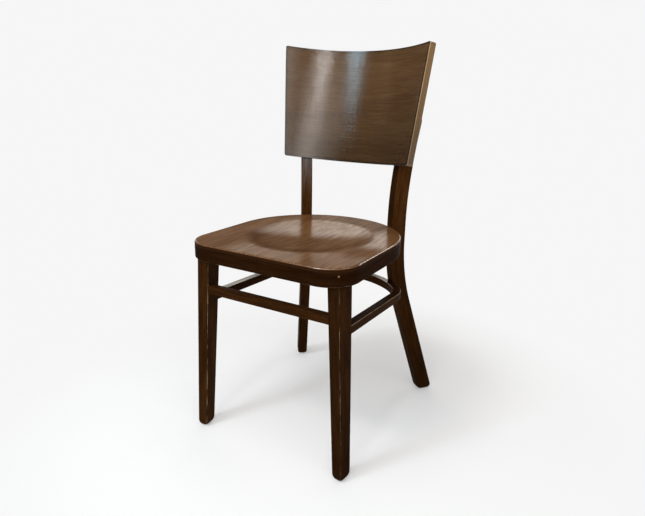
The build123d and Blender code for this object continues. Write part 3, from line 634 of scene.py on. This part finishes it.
def rearLegLines():
    # front and back line of the leg in its own upright plane: raked, knee arc, upright, bend arc, post
    rake, lean = math.radians(rearLeg["rake"]), math.radians(rearLeg["lean"])
    face = halfSeat - rearLeg["letIn"]
    depth = rearLeg["depth"]
    kneeTop = rearLeg["kneeHeight"] + rearLeg["kneeRadius"] * math.tan(rake / 2)
    bendLow = rearLeg["bendHeight"] - rearLeg["bendRadius"] * math.tan(lean / 2)
    footFront = face + (rearLeg["kneeHeight"] - rearLeg["floorGap"]) * math.tan(rake)
    postRun = (rearLeg["topHeight"] - rearLeg["bendHeight"]) * math.tan(lean)
    kneeTurn = np.linspace(rake, 0, 26)[:, None]
    bendTurn = np.linspace(0, lean, 24)[:, None]
    kneeWay = np.hstack([np.cos(kneeTurn), np.sin(kneeTurn)])
    bendWay = np.hstack([-np.cos(bendTurn), np.sin(bendTurn)])
    lines = []
    for back in (0.0, depth):
        knee = np.array([face + rearLeg["kneeRadius"], kneeTop])
        kneeArc = knee - (rearLeg["kneeRadius"] - back) * kneeWay
        bend = np.array([face + rearLeg["bendRadius"], bendLow])
        bendArc = bend + (rearLeg["bendRadius"] - back) * bendWay
        foot = np.array([footFront + back / math.cos(rake), rearLeg["floorGap"]])
        postEnd = np.array([
            face + postRun + back * math.cos(lean),
            rearLeg["topHeight"] - back * math.sin(lean),
        ])
        lines.append((foot, kneeArc, bendArc, postEnd))
    return lines


def makeRearLeg(side, sign):
    # rounded rectangle strung between the front and back line, rounded over at both ends
    units = sectionUnits(6)
    topRound = rearLeg["topRound"]
    front, back = rearLegLines()
    raked = np.linalg.norm(front[1][0] - front[0])
    post = np.linalg.norm(front[3] - front[2][-1])
    soleRows = footRows(rearLeg)
    rakedShare = np.concatenate([soleRows / raked, np.linspace(0.06, 1, 14, endpoint=False)])[:, None]
    endTurn = np.radians(np.linspace(0, 90, 12))
    endRows = np.concatenate([topRound * (1 - np.sin(endTurn)), [0]])
    straight = np.linspace(0, 1 - topRound / post, 14, endpoint=False)[1:]
    postShare = np.concatenate([straight, 1 - endRows / post])[:, None]
    lines = []
    for foot, kneeArc, bendArc, end in (front, back):
        lines.append(np.concatenate([
            foot + (kneeArc[0] - foot) * rakedShare, kneeArc,
            kneeArc[-1] + (bendArc[0] - kneeArc[-1]) * np.linspace(0, 1, 8, endpoint=False)[1:, None],
            bendArc, bendArc[-1] + (end - bendArc[-1]) * postShare,
        ]))
    count = len(lines[0])
    fromFoot = np.full(count, 1.0)
    fromFoot[:len(soleRows)] = soleRows
    fromEnd = np.full(count, 1.0)
    fromEnd[-len(endRows):] = endRows
    tipInset = footInset(rearLeg, fromFoot)
    endArris = filletCut(rearLeg["arris"], fromEnd)
    flankInset = np.maximum(tipInset * 0.6, endArris)
    backCut = filletCut(topRound, fromEnd)
    extra = np.zeros(count)
    extra[[0, -1]] = rearLeg["border"]  # a narrow flat border inside each end
    frontInset = tipInset + endArris + extra
    backInset = tipInset + backCut + extra
    depth = rearLeg["depth"] - frontInset - backInset
    behind = softStep(0.60, 0.63, lines[0][:, 1])
    arris = footArris(rearLeg, fromFoot) + rearLeg["postArris"] * behind
    x, t = section(units, depth, rearLeg["thickness"] - 2 * (flankInset + extra), arris)
    share = ((x + depth[:, None] / 2 + frontInset[:, None]) / rearLeg["depth"])[..., None]
    plane = lines[0][:, None] + (lines[1] - lines[0])[:, None] * share
    rings = np.stack([
        sign * plane[..., 0] * turnSin + t * turnCos,
        axisY + plane[..., 0] * turnCos - sign * t * turnSin,
        plane[..., 1],
    ], axis=-1)
    along = runLength(lines[0])[:, None] + np.zeros(x.shape)
    grain = np.stack([along + 1.9 * sign + 7, share[..., 0] * rearLeg["depth"], t], axis=-1)
    marks = np.tile(units[2] * 0.6, (count, 1))
    polish = softStep(0.49, 0.60, rings[..., 2]) * (units[1][:, 0] < -0.5) * (sign < 0)
    # painted shade on the right post's front face, above the seat
    shadeAndGrime = 0.8 * softStep(0.44, 0.50, rings[..., 2]) * (units[1][:, 0] < -0.5) * (sign > 0)
    return skin(f"rearLeg_{side}", rings, grain, marks, polish=polish, shadeAndGrime=shadeAndGrime)


for side, sign in sides.items():
    finishPiece(makeRearLeg(side, sign), postBeech, "frame_wood", f"rear_leg_{side}")
print("rear legs made")


# Back panel

backPanel = {
    "radius": 0.298, "thickness": 0.017, "height": 0.2658, "bottomWidth": 0.329, "topWidth": 0.372,
    "rise": 0.1425, "forward": 0.025, "recline": 11.5, "corner": 0.005, "border": 0.0005,
    "arris": 0.0006, "backArris": 0.003,
}


def makeBackPanel():
    # tall rounded rectangle swung round an upright axis; its reach grows with height, so both ends
    # slant, and the whole sheet is then leant back
    radius, thick, tall = backPanel["radius"], backPanel["thickness"], backPanel["height"]
    corner, arris, backArris = backPanel["corner"], backPanel["arris"], backPanel["backArris"]
    low, high = (math.asin(backPanel[key] / 2 / radius) for key in ("bottomWidth", "topWidth"))
    units = sectionUnits(5, (0.002, 0.02, 0.1, 0.3, 0.5, 0.7, 0.9, 0.98, 0.998))
    turn = np.radians(np.linspace(0, 90, 15))
    endGap = np.concatenate([corner * (1 - np.sin(turn)), [0]])  # from the end, over its rounded corner
    endCut = np.concatenate([corner * (1 - np.cos(turn)), [corner + backPanel["border"]]])
    border = np.concatenate([0 * turn, [backPanel["border"]]])  # a narrow flat border inside each end
    inside = np.linspace(-1, 1, 72)[1:-1]
    none = np.zeros(len(inside))
    swing = np.concatenate([np.full(len(endGap), -1.0), inside, np.full(len(endGap), 1.0)])
    gap = np.concatenate([endGap[::-1], none + corner, endGap])
    cut = np.concatenate([endCut[::-1], none, endCut])
    frontThin, backThin = (
        np.concatenate([thin[::-1], none, thin])[:, None]
        for thin in (filletCut(arris, endGap) + border, filletCut(backArris, endGap) + border)
    )
    centre, normal = units[0], units[1]
    rear = (1 + centre[:, 0]) / 2
    r = arris + (backArris - arris) * rear
    w = frontThin + (thick - frontThin - backThin) / 2 * (1 + centre[:, 0])
    w = w + (normal[:, 0] - centre[:, 0]) * r
    v = tall / 2 + centre[:, 1] * (tall / 2 - cut[:, None] - r) + normal[:, 1] * r
    reach = low + (high - low) * v / tall
    reach = reach + w / (radius + w) * np.sin((low + high) / 2 - reach)
    pull = ((corner - gap) * np.sign(swing))[:, None] / radius
    angle = swing[:, None] * (reach - corner / radius) + pull
    localX, localY = (radius + w) * np.sin(angle), (radius + w) * np.cos(angle) - radius
    lean = math.radians(backPanel["recline"])
    rings = np.stack([
        localX,
        frontY + seat["depth"] - backPanel["forward"] + localY * math.cos(lean) + v * math.sin(lean),
        rimZ + backPanel["rise"] - localY * math.sin(lean) + v * math.cos(lean),
    ], axis=-1)
    grain = np.stack([radius * angle + 11.3, v, w], axis=-1)
    ended = softStep(0.0007 + 0.0011 * rear, 0.0001 + 0.0010 * rear, gap[:, None])
    edge = np.maximum(np.abs(normal[:, 1]) + np.zeros(w.shape), ended)
    rounded = np.exp(-((gap[:, None] - arris * 0.3) / (arris * 0.4)) ** 2) * (normal[:, 0] < -0.9)
    marks = np.maximum(0.5 * units[2] * rear * (1 - ended), rounded * (swing > 0)[:, None])
    fromEnd = radius * reach - np.abs(radius * angle)
    # painted shade on the front face: a dark line along its edges and its lower right darker; the ends
    # are darker towards the bottom
    fromEdge = np.minimum(np.minimum(v, tall - v), fromEnd)
    edgeShade = softStep(0.0065, 0.0015, fromEdge) * (1 - ended)
    lowRight = 0.16 * softStep(0.03, 0.10, localX) * softStep(0.25, 0.15, v)
    lowEnd = 0.35 * ended * softStep(0.13, 0.02, v)
    shadeAndGrime = np.maximum(np.maximum(edgeShade, lowRight) * (normal[:, 0] < -0.05), lowEnd)
    return skin("backPanel", rings, grain, marks, edge, shadeAndGrime=shadeAndGrime)


finishPiece(makeBackPanel(), backVeneer, "back_wood", "back_panel")
print("back panel made")


# Stretchers

stretcher = {
    "tenon": 0.014, "letIn": 0.004, "arris": 0.0025,
    "shoeWidth": 0.020, "shoeHeight": 0.019, "shoeCorner": 0.090, "shoeReach": 0.20849,
    "shoeDrop": 0.0995, "shoeFall": 0.012,  # below the ring at the front legs, and on to the rear legs
    "shoeWearAndHighlight": (1.2, 0.6, 0.5, 0.6),  # per arris, from the upper outer one; the pale line on the upper outer one is partly wear and partly a painted highlight
}


def makeFrontStretcher():
    # rounded rectangle carried straight across, its ends let into the legs
    low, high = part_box("front_stretcher")
    units = sectionUnits(6)
    end = high.x - stretcher["tenon"] + stretcher["letIn"]
    across = np.linspace(-end, end, 30)
    y, z = section(units, high.y - low.y, high.z - low.z, stretcher["arris"])
    rings = np.stack(np.broadcast_arrays(
        across[:, None], (low.y + high.y) / 2 + y[None], (low.z + high.z) / 2 + z[None]), axis=-1)
    grain = np.stack(np.broadcast_arrays(across[:, None] + 13.1, z[None], y[None]), axis=-1)
    return skin("frontStretcher", rings, grain, np.tile(units[2] * 0.6, (len(across), 1)))


def makeHorseshoe():
    # rounded rectangle carried along a horseshoe: arm, bend, wide arc, bend, arm
    low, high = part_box("horseshoe_stretcher")
    units = sectionUnits(6)
    r, half, reach = stretcher["shoeCorner"], high.x, stretcher["shoeReach"]
    bendX = half - r
    bendY = axisY + math.sqrt((reach - r) ** 2 - bendX**2)
    sweep = math.degrees(math.atan2(bendY - axisY, bendX))
    startY = low.y + stretcher["tenon"] - stretcher["letIn"]
    outer, normal = bentPath([
        ((bendX, startY), (bendX, bendY), r, 0, 0, 30),
        ((bendX, bendY), (bendX, bendY), r, 0, sweep, 24),
        ((0, axisY), (0, axisY), reach, sweep, 180 - sweep, 60),
        ((-bendX, bendY), (-bendX, bendY), r, 180 - sweep, 180, 24),
        ((-bendX, bendY), (-bendX, startY), r, 180, 180, 30),
        ((-bendX, startY), (-bendX, startY), r, 180, 180, 1),
    ])
    x, z = section(units, stretcher["shoeWidth"], stretcher["shoeHeight"], stretcher["arris"])
    flat = outer[:, None] - normal[:, None] * (stretcher["shoeWidth"] / 2 - x)[None, :, None]
    slope = stretcher["shoeFall"] / (axisY + reach * turnCos - startY - stretcher["letIn"])
    fall = slope * (flat[..., 1] - startY - stretcher["letIn"])
    heights = ringBottomZ - stretcher["shoeDrop"] - fall + z
    rings = np.concatenate([flat, heights[..., None]], axis=-1)
    along = runLength(outer)[:, None]
    grain = np.stack(np.broadcast_arrays(along + 17.9, z[None], x[None]), axis=-1)
    # pale worn colour on the arrises; on the upper outer arris it is also a painted highlight
    corner = np.repeat(stretcher["shoeWearAndHighlight"], len(units[2]) // 4)
    marks = np.tile(units[2] * corner, (len(outer), 1))
    rightArm = softStep(0.05, 0.12, flat[..., 0]) * softStep(0.13, 0.05, flat[..., 1])
    polish = softStep(0.6, 0.95, units[1][:, 1]) * (1 - rightArm)
    return skin("horseshoeStretcher", rings, grain, marks, polish=polish)


finishPiece(makeFrontStretcher(), frameBeech, "frame_wood", "front_stretcher")
finishPiece(makeHorseshoe(), shoeBeech, "frame_wood", "horseshoe_stretcher")
print("stretchers made")


# Pins, plugs and glides

small = {
    "pinRadius": 0.0025, "pinDepth": 0.004, "pinDrop": 0.015, "pinAngle": 46.0,
    "plugRadius": 0.0045, "plugDepth": 0.007,
    "lift": 0.00005, "proud": 0.00015,  # how far a face's edge and its middle stand out
    "glideRadius": 0.0070, "glideEdge": 0.0008, "glideHeight": 0.0021,
}


def turned(name, profile, foot, axis, around=36):
    # rows of (radius, height) swung about an axis that starts at foot
    radius, height = np.array(profile, float).T
    axis = np.array(axis, float) / np.linalg.norm(axis)
    first = np.cross(axis, (0, 0, 1) if abs(axis[2]) < 0.9 else (1, 0, 0))
    first /= np.linalg.norm(first)
    second = np.cross(axis, first)
    turn = np.linspace(0, 2 * math.pi, around, endpoint=False)
    x, y = radius[:, None] * np.cos(turn), radius[:, None] * np.sin(turn)
    h = height[:, None] + np.zeros(x.shape)
    rings = np.array(foot) + x[..., None] * first + y[..., None] * second + h[..., None] * axis
    rim = softStep(0.72, 0.92, radius / radius.max())[:, None] + np.zeros(x.shape)
    return skin(name, rings, np.stack([h, x, y], axis=-1), rim)


def domeProfile(radius, depth, proud):
    # plug with a slightly raised, softly domed face: height falls off as the square of the radius
    share = np.linspace(1, 0.06, 9)
    face = np.stack([radius * share, proud * (1 - share**2)], axis=1)
    return np.vstack([[radius, -depth], [radius, -0.0001], face])


endBeech = stainedWood("endBeech", {
    **frameLook, "dark": (0.20, 0.115, 0.055), "light": (0.30, 0.18, 0.09), "band": (0.24, 0.14, 0.07),
    "streak": (0.10, 0.05, 0.022), "fleck": (0.08, 0.04, 0.018), "bare": (0.010, 0.0035, 0.001),
    "wear": 1.6,
})
plugBeech = stainedWood("plugBeech", {**frameLook, "bare": (0.008, 0.003, 0.001), "wear": 1.2})
for side, sign in sides.items():
    swing = math.radians(small["pinAngle"])
    normal = np.array([sign * math.cos(swing), -math.sin(swing), 0])
    r = seat["cornerRadius"]
    corner = np.array([sign * (halfSeat - r), frontY + r, rimZ - small["pinDrop"]])
    pinFace = domeProfile(small["pinRadius"], small["pinDepth"], small["proud"])
    pin = turned(f"legPin_{side}", pinFace, corner + normal * (r + small["lift"]), normal)
    finishPiece(pin, endBeech, "pin_wood", f"leg_pin_{side}")
    lean = math.radians(rearLeg["lean"])
    backwards = np.array([sign * turnSin * math.cos(lean), turnCos * math.cos(lean), -math.sin(lean)])
    for level in ("upper", "lower"):
        low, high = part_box(f"screw_plug_{level}_{side}")
        face = (np.array(low) + np.array(high)) / 2 + backwards * small["plugDepth"] / 2
        plugFace = domeProfile(small["plugRadius"], small["plugDepth"], small["proud"])
        plug = turned(f"screwPlug_{level}_{side}", plugFace, face + backwards * small["lift"], backwards)
        finishPiece(plug, plugBeech, "pin_wood", f"screw_plug_{level}_{side}")
print("pins and plugs made")


def plainMaterial(name, colour, roughness, metallic=0.0, grainSize=900.0, spread=0.12):
    # one colour with a fine mottle in tone and gloss
    material, tree = newMaterial(name)
    shader = tree.nodes["Principled BSDF"]
    place = addNode(tree, "ShaderNodeTexCoord")
    noise = addNode(tree, "ShaderNodeTexNoise", Scale=grainSize, Detail=3.0)
    tree.links.new(place.outputs["Object"], noise.inputs["Vector"])
    tone = rangeNode(tree, noise.outputs["Fac"], 0.3, 0.7)
    darker = [c * (1 - spread) for c in colour]
    tree.links.new(mixColour(tree, tone, darker, colour), shader.inputs["Base Color"])
    gloss = rangeNode(tree, noise.outputs["Fac"], 0.3, 0.7, roughness - 0.05, roughness + 0.05)
    tree.links.new(gloss, shader.inputs["Roughness"])
    shader.inputs["Metallic"].default_value = metallic
    return material


zincPlate = plainMaterial("zincPlate", (0.55, 0.55, 0.54), 0.32, metallic=1.0)
nylonGlide = plainMaterial("nylonGlide", (0.055, 0.042, 0.032), 0.55, spread=0.2)
for name, node in nodes.items():
    if name.startswith(("seat_bolt", "seat_washer", "seat_nut", "stretcher_screw", "back_screw")):
        node.data.materials.clear()
        node.data.materials.append(zincPlate)
    if name.startswith("glide"):
        low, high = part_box(name)
        r, edge = small["glideRadius"], small["glideEdge"]
        turn = np.radians(np.linspace(0, 90, 7))
        rounded = np.stack([r - edge + edge * np.sin(turn), edge * (1 - np.cos(turn))], axis=1)
        rows = np.vstack([[0.0006, 0], [0.003, 0], [0.0056, 0], rounded, [r, small["glideHeight"]]])
        middle = ((low.x + high.x) / 2, (low.y + high.y) / 2, low.z)
        glide = turned(name.replace("glide", "footGlide"), rows, middle, (0, 0, 1))
        finishPiece(glide, nylonGlide, "glide_plastic", name)
print("fasteners and glides made")


# Stage, light and camera

stage = {
    "floorSize": 14.0, "tone": 0.9216, "paint": (0.905, 0.912, 0.925),
    "nearFloor": 0.40, "farFloor": 0.85, "shade": 0.74,  # the shadow runs out between these two radii
    "backdropSide": (0.25, 0.55), "backdropTop": (0.225, 0.19),  # in parts of a unit direction
    "dimRoom": 0.04,
}
studio = {
    "ambient": 0.30,
    # azimuth from straight ahead towards +X, elevation, tilt, distance, width, height, radiance, colour
    "boxes": [
        ("keyBox", 6.2, 33.5, 26.0, 2.6, 0.08, 0.34, 66.0, (1.0, 0.98, 0.95)),
        ("glowBox", 14.0, 22.0, 0.0, 2.8, 0.65, 0.50, 4.0, (1.0, 0.97, 0.93)),
        ("windowBox", -24.0, 35.5, 0.0, 2.8, 0.23, 0.75, 17.0, (0.52, 0.83, 1.0)),
        ("fillBox", -4.0, 24.0, 0.0, 2.8, 1.0, 0.45, 2.0, (1.0, 0.95, 0.88)),
        ("lampBox", -56.0, 28.0, 0.0, 2.8, 0.30, 0.8, 0.6, (1.0, 0.72, 0.40)),
        ("topBox", -20.0, 49.0, 0.0, 2.7, 0.7, 0.45, 21.0, (1.0, 0.97, 0.93)),
        ("lowBox", 28.0, 12.0, 0.0, 2.8, 3.0, 0.6, 2.0, (1.0, 0.98, 0.95)),
        ("rightBox", 58.0, 26.0, 0.0, 2.8, 2.3, 1.2, 1.9, (1.0, 0.97, 0.93)),
        ("rearBox", -146.0, 18.5, 0.0, 2.8, 2.9, 0.7, 3.4, (1.0, 0.92, 0.82)),
        ("sideBox", 163.0, 27.0, 0.0, 2.8, 1.2, 0.25, 8.0, (1.0, 0.98, 0.95)),
        ("skyBox", -10.0, 64.0, 0.0, 2.8, 2.0, 2.0, 2.0, (1.0, 0.99, 0.98)),
    ],
    "aim": (0.0, 0.0, 0.5),
}
view = {  # place in metres, angles in degrees, focal length and principal point in pixels
    "place": (0.61969, -1.04961, 0.75885), "yaw": 30.751, "pitch": 15.926, "roll": 1.005,
    "focal": 543.4, "centre": (318.82, 248.29), "frame": (645, 516),
}


def plainRays(tree):
    # 1 for the rays that show the plain background: the camera's, mirrored ones and those through glass
    rays = addNode(tree, "ShaderNodeLightPath").outputs
    seen = mathNode(tree, "MAXIMUM", rays["Is Camera Ray"], rays["Is Glossy Ray"])
    return mathNode(tree, "MAXIMUM", seen, rays["Is Transmission Ray"])


def mixShaders(tree, share, first, second, output):
    blend = addNode(tree, "ShaderNodeMixShader")
    for socket, value in zip(blend.inputs, (share, first.outputs[0], second.outputs[0])):
        tree.links.new(value, socket)
    tree.links.new(blend.outputs[0], output.inputs["Surface"])


def stand(name, data, right, up, away, place):
    # an object with its three axes and its place given
    holder = bpy.data.objects.new(name, data)
    axes = np.stack([right, up, away, place], axis=1)
    holder.matrix_world = Matrix(np.vstack([axes, [0, 0, 0, 1]]).tolist())
    bpy.context.scene.collection.objects.link(holder)
    return holder


def makeFloor():
    # one square of paint that shows the plain background's tone where no shadow falls
    half = stage["floorSize"] / 2
    corners = [(-half, -half, 0), (half, -half, 0), (half, half, 0), (-half, half, 0)]
    mesh = bpy.data.meshes.new("studioFloor")
    mesh.from_pydata(corners, [], [(0, 1, 2, 3)])
    floor = bpy.data.objects.new("studioFloor", mesh)
    bpy.context.scene.collection.objects.link(floor)
    material, tree = newMaterial("paleFloor")
    tree.nodes.remove(tree.nodes["Principled BSDF"])
    paint = addNode(tree, "ShaderNodeBsdfDiffuse", Color=(*stage["paint"], 1))
    glow = addNode(tree, "ShaderNodeEmission", Color=(stage["tone"],) * 3 + (1,), Strength=1.0)
    place = addNode(tree, "ShaderNodeTexCoord")
    reach = addNode(tree, "ShaderNodeVectorMath", operation="LENGTH")
    tree.links.new(place.outputs["Object"], reach.inputs[0])
    near, far = stage["nearFloor"], stage["farFloor"]
    plain = rangeNode(tree, reach.outputs["Value"], near, far, 1 - stage["shade"], 1.0)
    shown = mathNode(tree, "MULTIPLY", plainRays(tree), plain)
    mixShaders(tree, shown, paint, glow, tree.nodes["Material Output"])
    mesh.materials.append(material)


def makeWorld():
    # pale room: dimmer as a light than as the plain background that it shows; what is mirrored is
    # the white backdrop that stands behind the chair, and a dim room in front of it and above
    world = bpy.data.worlds.new("paleRoom")
    bpy.context.scene.world = world
    world.use_nodes = True
    tree = world.node_tree
    plain = tree.nodes["Background"]
    plain.inputs["Color"].default_value = (stage["tone"],) * 3 + (1,)
    way = addNode(tree, "ShaderNodeSeparateXYZ")
    tree.links.new(addNode(tree, "ShaderNodeTexCoord").outputs["Generated"], way.inputs[0])
    behind = rangeNode(tree, way.outputs["Y"], *stage["backdropSide"])
    below = rangeNode(tree, way.outputs["Z"], *stage["backdropTop"])
    backdrop = mathNode(tree, "MAXIMUM", mathNode(tree, "MULTIPLY", behind, below), stage["dimRoom"])
    cameraRay = addNode(tree, "ShaderNodeLightPath").outputs["Is Camera Ray"]
    tree.links.new(mathNode(tree, "MAXIMUM", cameraRay, backdrop), plain.inputs["Strength"])
    room = addNode(tree, "ShaderNodeBackground", Color=(1, 1, 1, 1), Strength=studio["ambient"])
    mixShaders(tree, plainRays(tree), room, plain, tree.nodes["World Output"])


def makeLamps():
    # soft boxes on a sphere about the chair, each facing it
    aim = np.array(studio["aim"])
    for name, azimuth, elevation, tilt, distance, width, height, radiance, colour in studio["boxes"]:
        a, e, t = (math.radians(angle) for angle in (azimuth, elevation, tilt))
        away = np.array([math.sin(a) * math.cos(e), -math.cos(a) * math.cos(e), math.sin(e)])
        level = np.array([math.cos(a), math.sin(a), 0])
        right = level * math.cos(t) + np.cross(away, level) * math.sin(t)
        lamp = bpy.data.lights.new(name, "AREA")
        lamp.shape = "RECTANGLE"
        lamp.size, lamp.size_y = width, height
        lamp.energy = radiance * math.pi * width * height
        lamp.color = colour
        holder = stand(name, lamp, right, np.cross(away, right), away, aim + away * distance)
        holder.visible_camera = False


def makeCamera():
    # the photograph's viewing angle, with its principal point as the camera's shift
    yaw, pitch, roll = (math.radians(view[key]) for key in ("yaw", "pitch", "roll"))
    level = np.array([math.cos(yaw), math.sin(yaw), 0])
    onward = np.array([-math.sin(yaw), math.cos(yaw), 0])
    ahead = onward * math.cos(pitch) - np.array([0, 0, math.sin(pitch)])
    upright = np.cross(level, ahead)
    right = math.cos(roll) * level + math.sin(roll) * upright
    up = -math.sin(roll) * level + math.cos(roll) * upright
    data = bpy.data.cameras.new("photoCamera")
    wide, tall = view["frame"]
    data.sensor_width = 36.0
    data.lens = view["focal"] / wide * data.sensor_width
    data.shift_x = (wide / 2 - view["centre"][0]) / wide
    data.shift_y = (view["centre"][1] - tall / 2) / wide
    data.clip_start, data.clip_end = 0.05, 60
    place = np.array(view["place"])
    bpy.context.scene.camera = stand("photoCamera", data, right, up, -ahead, place)


makeFloor()
makeWorld()
makeLamps()
makeCamera()
bpy.context.scene.view_settings.view_transform = "Standard"
print("stage, light and camera set")
